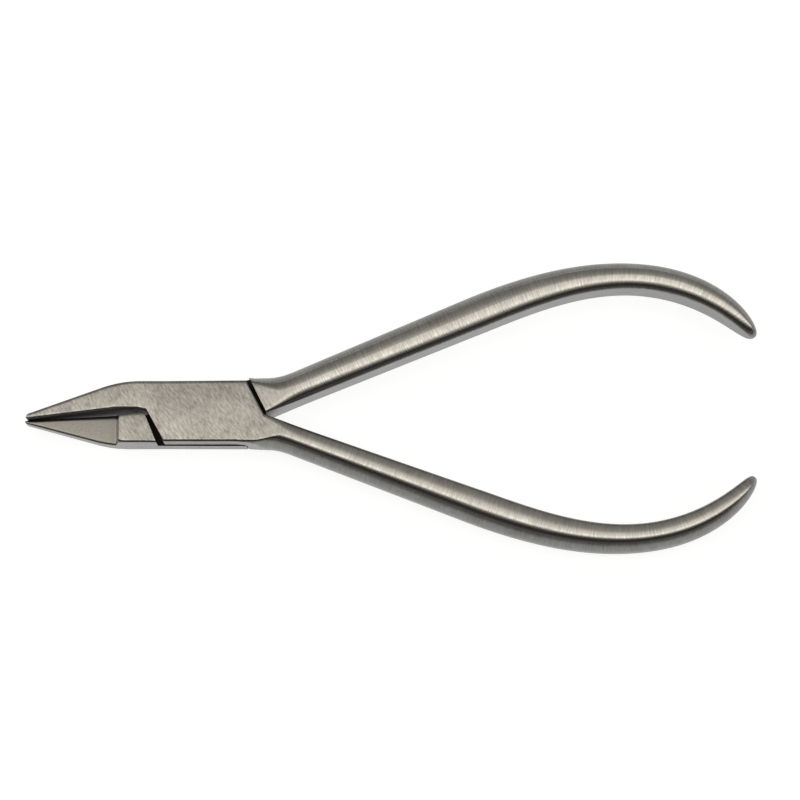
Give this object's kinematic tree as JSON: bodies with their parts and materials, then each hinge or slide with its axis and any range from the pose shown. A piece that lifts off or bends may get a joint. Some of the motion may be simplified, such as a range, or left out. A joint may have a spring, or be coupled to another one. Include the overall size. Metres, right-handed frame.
{
  "type": "orthodontic pliers",
  "caption": "Slim lap-joint orthodontic pliers of satin steel with tapered beaks, a stepped lower jaw and long inward-curved handles.",
  "frame": {"origin": "on the pivot's axis, in the plane that the closed pliers rest on, back side down", "axes": "+X from the pivot to the handles, -X to the beaks, +Y to the upper handle, +Z along the pivot's axis, away from the resting plane"},
  "size_m": [0.126, 0.0507, 0.0082],
  "materials": {
    "satin_steel": "satin, finely ground",
    "ground_pin_steel": "ground flush"
  },
  "bodies": {
    "front_half": {"front_half": "satin_steel", "pivot_pin": "ground_pin_steel"},
    "back_half": {"back_half": "satin_steel"}
  },
  "joints": [
    {"name": "pivot", "type": "hinge", "parent": "front_half", "child": "back_half", "pos_m": [0, 0, 0.0041], "axis": [0, 0, 1], "range_deg": [0, 30]}
  ]
}
